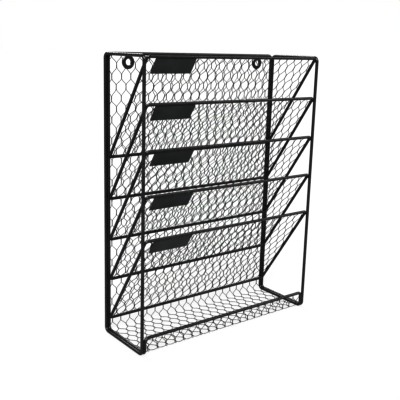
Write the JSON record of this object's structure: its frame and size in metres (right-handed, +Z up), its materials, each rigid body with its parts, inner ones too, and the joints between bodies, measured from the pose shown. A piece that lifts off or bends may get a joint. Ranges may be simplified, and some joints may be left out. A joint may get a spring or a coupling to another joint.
{
  "type": "hanging file rack",
  "caption": "Black wire file rack for a wall or a desk: sloping hexagonal-netting pockets between two side frames, over a shallow bin with a front lip.",
  "frame": {"origin": "On the surface that the rack stands on, under the middle of its outline, which is also the middle of its four bottom corners.", "axes": "+Z up, +X to the right as seen from the open front, -Y the open front with the label plates, +Y the wall side."},
  "size_m": [0.3174, 0.1016, 0.4064],
  "materials": {
    "frame_coating": "Satin black powder coat on round steel wire",
    "netting_coating": "Satin black powder coat on thin twisted steel wire",
    "plate_coating": "Matt black powder coat on sheet steel"
  },
  "bodies": {
    "root": {"left_side_frame": "frame_coating", "right_side_frame": "frame_coating", "back_floor_frame": "frame_coating", "back_netting": "netting_coating", "floor_netting": "netting_coating", "lip_netting": "netting_coating", "pocket_frame_1": "frame_coating", "pocket_frame_2": "frame_coating", "pocket_frame_3": "frame_coating", "pocket_frame_4": "frame_coating", "pocket_frame_5": "frame_coating", "pocket_netting_1": "netting_coating", "pocket_netting_2": "netting_coating", "pocket_netting_3": "netting_coating", "pocket_netting_4": "netting_coating", "pocket_netting_5": "netting_coating", "label_plate_1": "plate_coating", "label_plate_2": "plate_coating", "label_plate_3": "plate_coating", "label_plate_4": "plate_coating", "label_plate_5": "plate_coating", "left_hanging_ring": "frame_coating", "right_hanging_ring": "frame_coating"}
  },
  "joints": []
}
